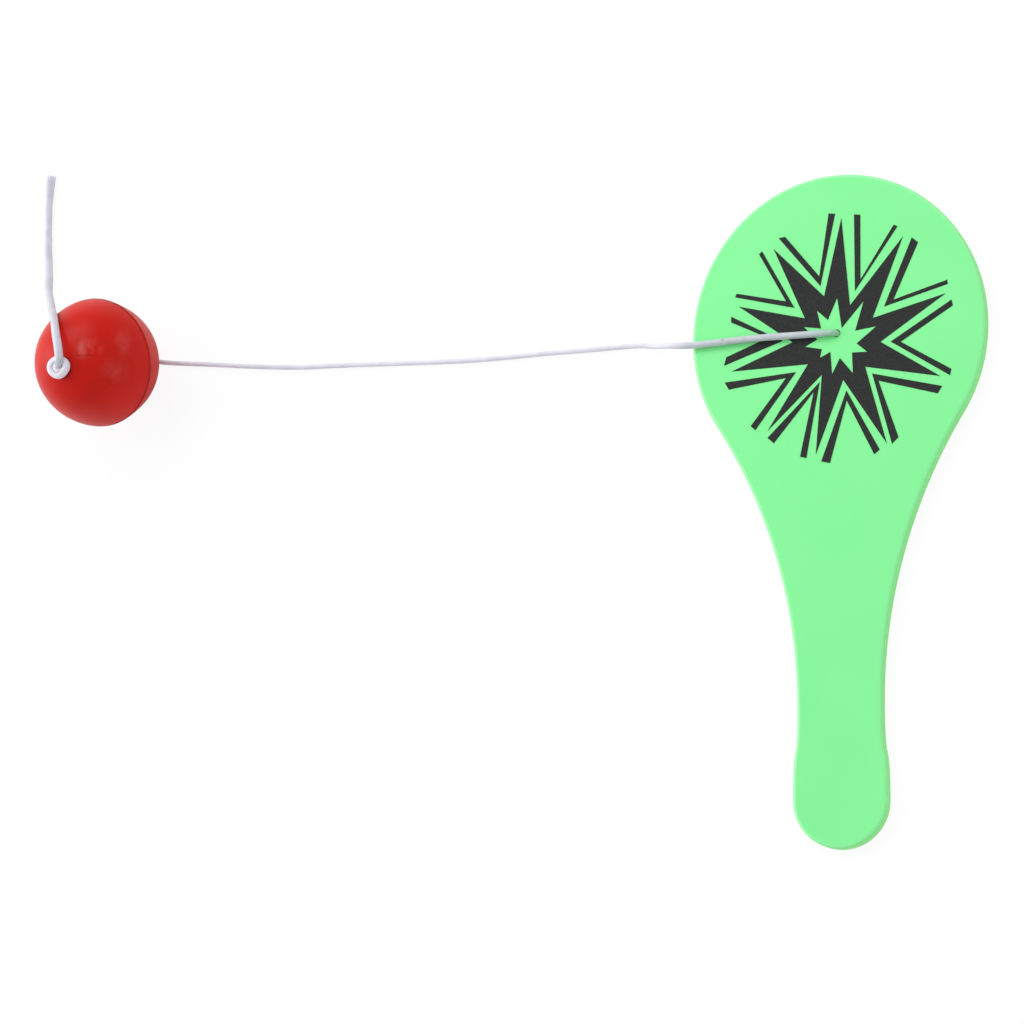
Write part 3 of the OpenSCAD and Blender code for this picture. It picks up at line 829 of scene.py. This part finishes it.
through = tube("cord_through_ball",
               [BALL - AXIS * CORD_ENTRY, BALL,
                BALL + AXIS * (BALL_R + KNOT_RISE - CORD_UNDER_KNOT)],
               CORD_D / 2, WHITE)
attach(through, "cord_end")
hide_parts("cord_in_ball")

anchor = closed_tube("anchor_knot_turns", overhand(ANCHOR_ACROSS, ANCHOR_RISE), ANCHOR_TUBE,
                     WHITE)
moved_by(anchor, HOLE + Vector((0, 0, ANCHOR_Z)))
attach(anchor, "cord_swivel")
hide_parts("anchor_knot")

# Floor, world and lamps. The floor reaches this far in metres. To the camera it is mostly its
# own white, and the rest of it takes the object's shadow
FLOOR_R, FLOOR_TONE, FLOOR_GLOW, FLOOR_WHITE = 20, 0.96, 1.01, 0.9
# Light of the world on the object, and as the camera sees it
WORLD_LIGHT, WORLD_SEEN = 0.61, 0.985
# Lamps: name, place, what it aims at, its size in metres and its power
LAMPS = [("left_lamp", (-1.2, 0.15, 0.55), (-0.1, 0, 0), (0.7, 0.7), 7.4),
         ("top_lamp", (-0.5, 1.1, 1.2), (0, 0, 0), (1.2, 0.8), 11.6),
         ("right_lamp", (1.2, -0.2, 0.5), (0.1, 0, 0), (0.7, 0.7), 0.8)]
PURE_WHITE = (1, 1, 1, 1)

floor_mesh = bpy.data.meshes.new("floor")
floor_mesh.from_pydata([(x, y, 0) for x, y in boxed(-FLOOR_R, -FLOOR_R, FLOOR_R, FLOOR_R)], [],
                       [(0, 1, 2, 3)])
floor = bpy.data.objects.new("floor", floor_mesh)
scene.collection.objects.link(floor)
floor_mat = bpy.data.materials.new("floor")
floor_mat.use_nodes = True
tree = floor_mat.node_tree
tree.nodes.clear()
out = tree.nodes.new("ShaderNodeOutputMaterial")
diffuse = add_node(tree, "ShaderNodeBsdfDiffuse",
                   {"Color": (FLOOR_TONE, FLOOR_TONE, FLOOR_TONE, 1)})
glow = add_node(tree, "ShaderNodeEmission", {"Color": PURE_WHITE, "Strength": FLOOR_GLOW})
path_node = tree.nodes.new("ShaderNodeLightPath")
share = product(tree, path_node.outputs["Is Camera Ray"], FLOOR_WHITE)
mix = add_node(tree, "ShaderNodeMixShader",
               {0: share, 1: diffuse.outputs[0], 2: glow.outputs[0]})
tree.links.new(mix.outputs[0], out.inputs["Surface"])
floor_mesh.materials.append(floor_mat)

world = bpy.data.worlds.new("world")
scene.world = world
world.use_nodes = True
tree = world.node_tree
light = connect(tree, tree.nodes["Background"], {"Color": PURE_WHITE, "Strength": WORLD_LIGHT})
seen = add_node(tree, "ShaderNodeBackground", {"Color": PURE_WHITE, "Strength": WORLD_SEEN})
path_node = tree.nodes.new("ShaderNodeLightPath")
mix = add_node(tree, "ShaderNodeMixShader",
               {0: path_node.outputs["Is Camera Ray"], 1: light.outputs[0], 2: seen.outputs[0]})
tree.links.new(mix.outputs[0], tree.nodes["World Output"].inputs["Surface"])

for name, place, aim, size, power in LAMPS:
    data = bpy.data.lights.new(name, "AREA")
    data.shape = "RECTANGLE"
    data.size, data.size_y = size
    data.energy = power
    lamp = bpy.data.objects.new(name, data)
    lamp.location = place
    lamp.rotation_mode = "QUATERNION"
    lamp.rotation_quaternion = (Vector(aim) - Vector(place)).to_track_quat("-Z", "Y")
    scene.collection.objects.link(lamp)
